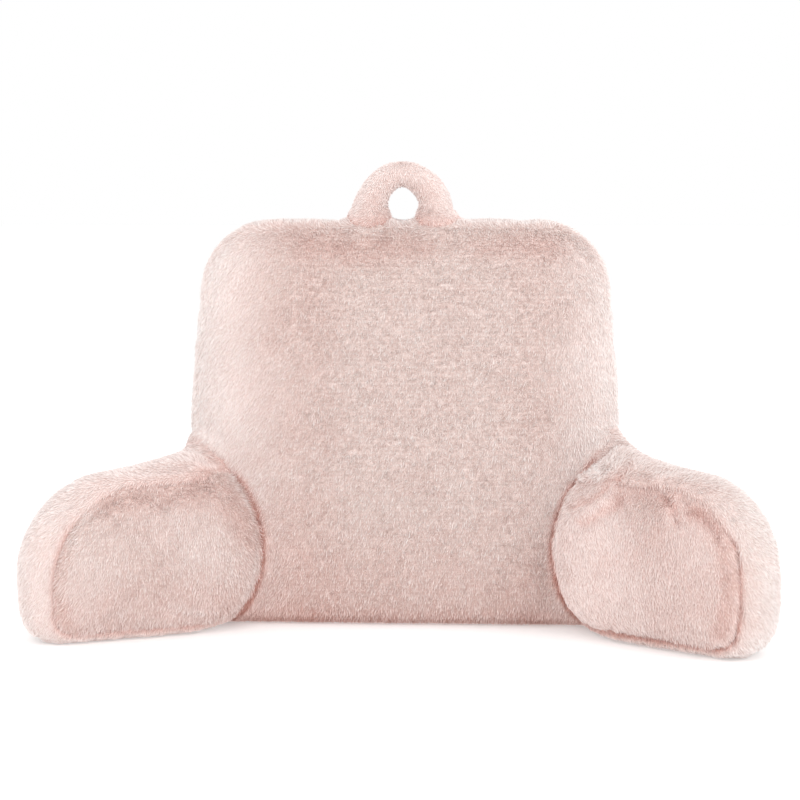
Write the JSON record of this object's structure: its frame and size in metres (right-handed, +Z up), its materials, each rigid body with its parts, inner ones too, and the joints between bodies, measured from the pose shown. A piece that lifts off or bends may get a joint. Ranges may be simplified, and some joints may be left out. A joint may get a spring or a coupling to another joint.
{
  "type": "reading pillow with arms",
  "caption": "Filled upright back cushion on a flat foot, with two splayed padded arms, sewn-in inner arm panels and a padded carrying loop, covered all over in short plush.",
  "frame": {"origin": "on the surface that the pillow stands on, under the middle of the back's flat foot", "axes": "+X to the right as seen from the front, -Y to the front, where the sitter's legs go, +Z up"},
  "size_m": [0.8126, 0.3562, 0.515],
  "materials": {
    "plush": "dense short plush pile, matt with a pale sheen at grazing light",
    "panel_plush": "dense short plush pile, matt with a pale sheen at grazing light"
  },
  "bodies": {
    "root": {"back_cushion": "plush", "arm_left": "plush", "arm_right": "plush", "arm_panel_left": "panel_plush", "arm_panel_right": "panel_plush", "carry_handle": "plush"}
  },
  "joints": []
}
